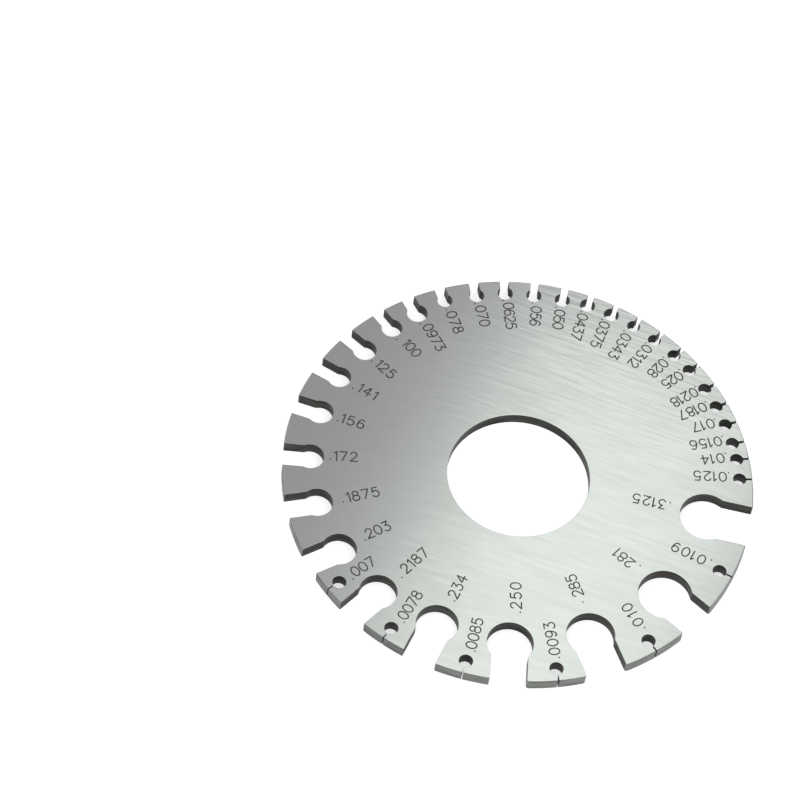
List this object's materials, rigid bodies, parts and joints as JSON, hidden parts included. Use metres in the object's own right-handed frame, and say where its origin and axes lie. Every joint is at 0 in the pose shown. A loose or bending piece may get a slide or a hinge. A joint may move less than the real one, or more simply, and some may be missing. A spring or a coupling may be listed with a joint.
{
  "type": "wire gauge",
  "caption": "Flat round wire and sheet gauge: a steel plate with a middle hole and keyhole slots of falling width round its rim, each marked with its size.",
  "frame": {"origin": "centre of the middle hole, on the lower face that the plate lies on", "axes": "+Z out of the numbered face, along the middle hole; +X to the right and +Y away as the picture shows it, with the widest slot 4.7 degrees clockwise of +X"},
  "size_m": [0.0826, 0.0826, 0.0024],
  "materials": {
    "steel": "stainless steel, ground flat and brushed one way, satin"
  },
  "bodies": {
    "root": {"gauge_plate": "steel"}
  },
  "joints": []
}
